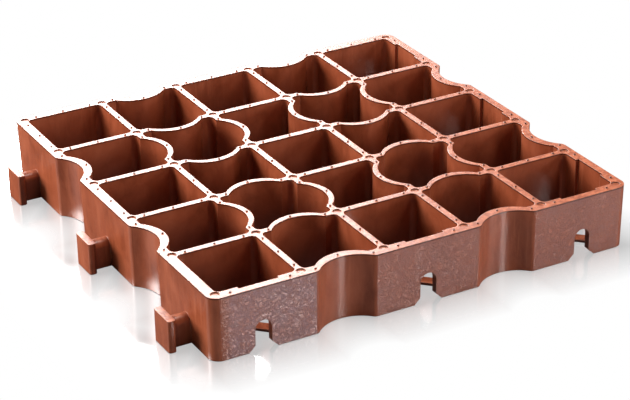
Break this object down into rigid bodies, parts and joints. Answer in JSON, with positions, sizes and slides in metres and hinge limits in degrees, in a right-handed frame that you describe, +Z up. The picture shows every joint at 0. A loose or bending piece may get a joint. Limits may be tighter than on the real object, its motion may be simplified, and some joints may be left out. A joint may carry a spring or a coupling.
{
  "type": "grass paver grid",
  "caption": "Square moulded plastic ground grid of open cells with straight and waved walls, T-shaped hooks on two sides and arched slots on the other two.",
  "frame": {"origin": "middle of the panel on its underside, where the bars of the middle cell cross", "axes": "+Z up, toward the rim with the pegs; the sides with slots face -Y and +X, the sides with hooks face -X and +Y"},
  "size_m": [0.5276, 0.5276, 0.0732],
  "materials": {
    "recycled_plastic": "semi-matt moulded surface with flow marks"
  },
  "bodies": {
    "root": {"paver_grid": "recycled_plastic"}
  },
  "joints": []
}
